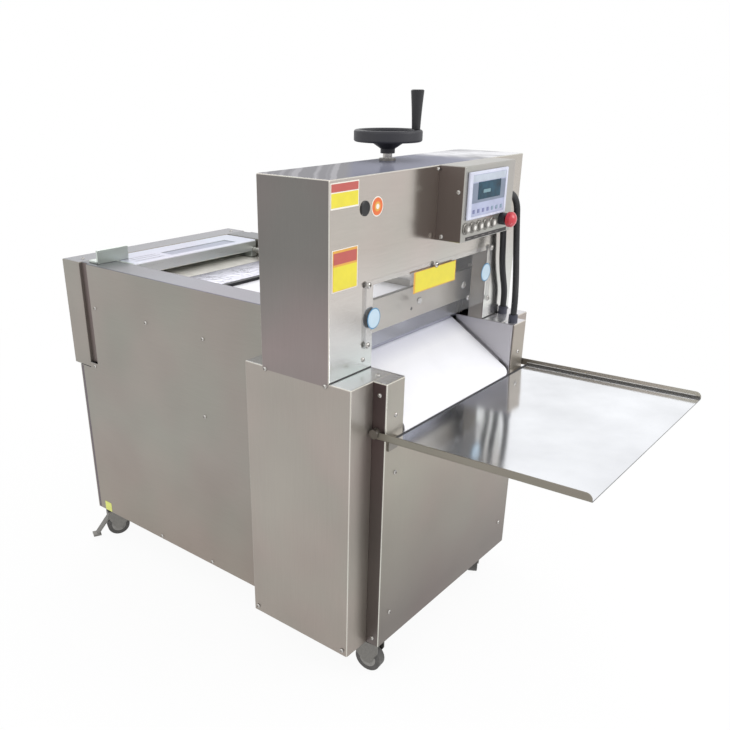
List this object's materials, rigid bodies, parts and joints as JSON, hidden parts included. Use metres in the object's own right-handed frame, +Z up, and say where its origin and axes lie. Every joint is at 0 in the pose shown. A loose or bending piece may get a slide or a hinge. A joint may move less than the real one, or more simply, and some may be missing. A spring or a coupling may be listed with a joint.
{
  "type": "frozen meat slicer",
  "caption": "Floor-standing reciprocating slicer: rear feed trough, upright knife head with handwheel, slanted belt and front slice tray on casters.",
  "frame": {"origin": "on the floor, under the middle of the machine's bounding box", "axes": "+Z up, -Y towards the slice tray at the front, +X to the machine's right side as the operator at the front sees it"},
  "size_m": [0.736, 1.4681, 1.2368],
  "materials": {
    "brushed_stainless": "satin brushed stainless sheet",
    "mirror_stainless": "polished stainless sheet",
    "bright_steel": "ground bright steel",
    "blade_steel": "ground blade steel",
    "frame_steel": "grey painted steel",
    "motor_paint": "blue-grey paint",
    "white_belt": "smooth white food belt",
    "white_board": "white polyethylene",
    "display_plastic": "satin grey-blue housing",
    "black_plastic": "satin black",
    "wheel_plastic": "black moulded plastic",
    "button_plastic": "gloss switch caps",
    "red_plastic": "gloss red",
    "clear_guard": "clear plastic plate",
    "hose_rubber": "black flexible conduit",
    "caster_steel": "zinc plated pressing",
    "caster_rubber": "grey rubber tyre"
  },
  "bodies": {
    "machine": {"base_frame": "frame_steel", "casing_panels": "brushed_stainless", "head_front_panel": "brushed_stainless", "head_rear_cover": "brushed_stainless", "head_covers": "brushed_stainless", "cabinet_front": "brushed_stainless", "conveyor_boxes": "brushed_stainless", "conveyor_belt": "white_belt", "body_panels": "brushed_stainless", "rear_panel": "brushed_stainless", "rear_cap": "brushed_stainless", "corner_cover": "brushed_stainless", "cross_beams": "frame_steel", "cutting_board": "white_board", "trough_floor": "brushed_stainless", "guide_columns": "bright_steel", "gear_motor": "motor_paint", "crank_bearings": "frame_steel", "presser_bridge": "brushed_stainless", "feed_drive": "bright_steel", "tray_brackets": "brushed_stainless", "control_box": "brushed_stainless", "display_panel": "display_plastic", "switch_collars": "black_plastic", "window_guard": "clear_guard", "hoses": "hose_rubber", "glands": "black_plastic", "panel_screws": "bright_steel"},
    "knife": {"knife_carrier": "brushed_stainless", "knife_blade": "blade_steel"},
    "crank": {"crankshaft": "bright_steel"},
    "rod_left": {"connecting_rod_left": "frame_steel"},
    "rod_right": {"connecting_rod_right": "frame_steel"},
    "wheel_and_screw": {"handwheel": "wheel_plastic", "presser_screw": "bright_steel"},
    "wheel_handle": {"handwheel_handle": "wheel_plastic"},
    "presser": {"presser_plate": "brushed_stainless"},
    "pusher": {"pusher_bar": "brushed_stainless"},
    "feed_screw": {"lead_screw": "bright_steel"},
    "upper_roller": {"drive_roller": "bright_steel"},
    "lower_roller": {"idler_roller": "bright_steel"},
    "slice_tray": {"tray": "mirror_stainless"},
    "stop_switch": {"stop_button": "red_plastic"},
    "button_1": {"push_button_1": "button_plastic"},
    "button_2": {"push_button_2": "button_plastic"},
    "button_3": {"push_button_3": "button_plastic"},
    "button_4": {"push_button_4": "button_plastic"},
    "button_5": {"push_button_5": "button_plastic"},
    "fork_front_left": {"caster_fork_front_left": "caster_steel"},
    "roller_front_left": {"caster_wheel_front_left": "caster_rubber"},
    "fork_front_right": {"caster_fork_front_right": "caster_steel"},
    "roller_front_right": {"caster_wheel_front_right": "caster_rubber"},
    "fork_rear_left": {"caster_fork_rear_left": "caster_steel"},
    "roller_rear_left": {"caster_wheel_rear_left": "caster_rubber"},
    "pedal_rear_left": {"brake_pedal_rear_left": "caster_steel"},
    "fork_rear_right": {"caster_fork_rear_right": "caster_steel"},
    "roller_rear_right": {"caster_wheel_rear_right": "caster_rubber"},
    "pedal_rear_right": {"brake_pedal_rear_right": "caster_steel"}
  },
  "joints": [
    {"name": "crank_turn", "type": "hinge", "parent": "machine", "child": "crank", "pos_m": [0, -0.128, 0.491], "axis": [-1, 0, 0], "range_deg": [0, 180]},
    {"name": "knife_stroke", "type": "slide", "parent": "machine", "child": "knife", "axis": [0, 0, 1], "range_m": [0, 0.15]},
    {"name": "rod_left_swing", "type": "hinge", "parent": "knife", "child": "rod_left", "pos_m": [-0.262, -0.128, 0.796], "axis": [-1, 0, 0], "range_deg": [0, 11.4]},
    {"name": "rod_right_swing", "type": "hinge", "parent": "knife", "child": "rod_right", "pos_m": [0.262, -0.128, 0.796], "axis": [-1, 0, 0], "range_deg": [0, 11.4]},
    {"name": "handwheel_turn", "type": "hinge", "parent": "machine", "child": "wheel_and_screw", "pos_m": [0, -0.086, 1.097], "axis": [0, 0, 1], "range_deg": [0, 3240]},
    {"name": "handle_spin", "type": "hinge", "parent": "wheel_and_screw", "child": "wheel_handle", "pos_m": [0.03703, -0.13128, 1.157], "axis": [0, 0, 1], "continuous": true},
    {"name": "presser_lift", "type": "slide", "parent": "machine", "child": "presser", "axis": [0, 0, -1], "range_m": [0, 0.045]},
    {"name": "pusher_feed", "type": "slide", "parent": "machine", "child": "pusher", "axis": [0, -1, 0], "range_m": [0, 0.5]},
    {"name": "feed_screw_turn", "type": "hinge", "parent": "machine", "child": "feed_screw", "pos_m": [0.212, 0, 0.795], "axis": [0, 1, 0], "continuous": true},
    {"name": "upper_roller_turn", "type": "hinge", "parent": "machine", "child": "upper_roller", "pos_m": [0, -0.134, 0.6986], "axis": [1, 0, 0], "continuous": true},
    {"name": "lower_roller_turn", "type": "hinge", "parent": "machine", "child": "lower_roller", "pos_m": [0, -0.29, 0.6016], "axis": [1, 0, 0], "continuous": true},
    {"name": "tray_lift", "type": "hinge", "parent": "machine", "child": "slice_tray", "pos_m": [0, -0.289, 0.614], "axis": [-1, 0, 0], "range_deg": [0, 60]},
    {"name": "stop_press", "type": "slide", "parent": "machine", "child": "stop_switch", "axis": [0, 1, 0], "range_m": [0, 0.0045]},
    {"name": "button_1_press", "type": "slide", "parent": "machine", "child": "button_1", "axis": [0, 1, 0], "range_m": [0, 0.003], "stiffness_N_per_m": 300, "springref_m": -0.002},
    {"name": "button_2_press", "type": "slide", "parent": "machine", "child": "button_2", "axis": [0, 1, 0], "range_m": [0, 0.003], "stiffness_N_per_m": 300, "springref_m": -0.002},
    {"name": "button_3_press", "type": "slide", "parent": "machine", "child": "button_3", "axis": [0, 1, 0], "range_m": [0, 0.003], "stiffness_N_per_m": 300, "springref_m": -0.002},
    {"name": "button_4_press", "type": "slide", "parent": "machine", "child": "button_4", "axis": [0, 1, 0], "range_m": [0, 0.003], "stiffness_N_per_m": 300, "springref_m": -0.002},
    {"name": "button_5_press", "type": "slide", "parent": "machine", "child": "button_5", "axis": [0, 1, 0], "range_m": [0, 0.003], "stiffness_N_per_m": 300, "springref_m": -0.002},
    {"name": "swivel_front_left", "type": "hinge", "parent": "machine", "child": "fork_front_left", "pos_m": [-0.272, -0.234, 0.088], "axis": [0, 0, 1], "continuous": true},
    {"name": "roll_front_left", "type": "hinge", "parent": "fork_front_left", "child": "roller_front_left", "pos_m": [-0.26869, -0.27186, 0.0325], "axis": [0.9962, 0.0872, 0], "continuous": true},
    {"name": "swivel_front_right", "type": "hinge", "parent": "machine", "child": "fork_front_right", "pos_m": [0.272, -0.234, 0.088], "axis": [0, 0, 1], "continuous": true},
    {"name": "roll_front_right", "type": "hinge", "parent": "fork_front_right", "child": "roller_front_right", "pos_m": [0.23909, -0.253, 0.0325], "axis": [0.5, -0.866, 0], "continuous": true},
    {"name": "swivel_rear_left", "type": "hinge", "parent": "machine", "child": "fork_rear_left", "pos_m": [-0.2356, 0.656, 0.088], "axis": [0, 0, 1], "continuous": true},
    {"name": "roll_rear_left", "type": "hinge", "parent": "fork_rear_left", "child": "roller_rear_left", "pos_m": [-0.27004, 0.67206, 0.0325], "axis": [-0.4226, -0.9063, 0], "continuous": true},
    {"name": "brake_rear_left", "type": "hinge", "parent": "fork_rear_left", "child": "pedal_rear_left", "pos_m": [-0.28998, 0.68136, 0.066], "axis": [0.4226, 0.9063, 0], "range_deg": [0, 20]},
    {"name": "swivel_rear_right", "type": "hinge", "parent": "machine", "child": "fork_rear_right", "pos_m": [0.2356, 0.656, 0.088], "axis": [0, 0, 1], "continuous": true},
    {"name": "roll_rear_right", "type": "hinge", "parent": "fork_rear_right", "child": "roller_rear_right", "pos_m": [0.27004, 0.67206, 0.0325], "axis": [-0.4226, 0.9063, 0], "continuous": true},
    {"name": "brake_rear_right", "type": "hinge", "parent": "fork_rear_right", "child": "pedal_rear_right", "pos_m": [0.28998, 0.68136, 0.066], "axis": [0.4226, -0.9063, 0], "range_deg": [0, 20]}
  ],
  "couplings": [
    {"joint": "knife_stroke", "follows": "crank_turn", "m_per_rad": 0.0477},
    {"joint": "presser_lift", "follows": "handwheel_turn", "m_per_rad": 0.0007957},
    {"joint": "feed_screw_turn", "follows": "pusher_feed", "rad_per_m": 314.16},
    {"joint": "lower_roller_turn", "follows": "upper_roller_turn", "ratio": 1}
  ]
}
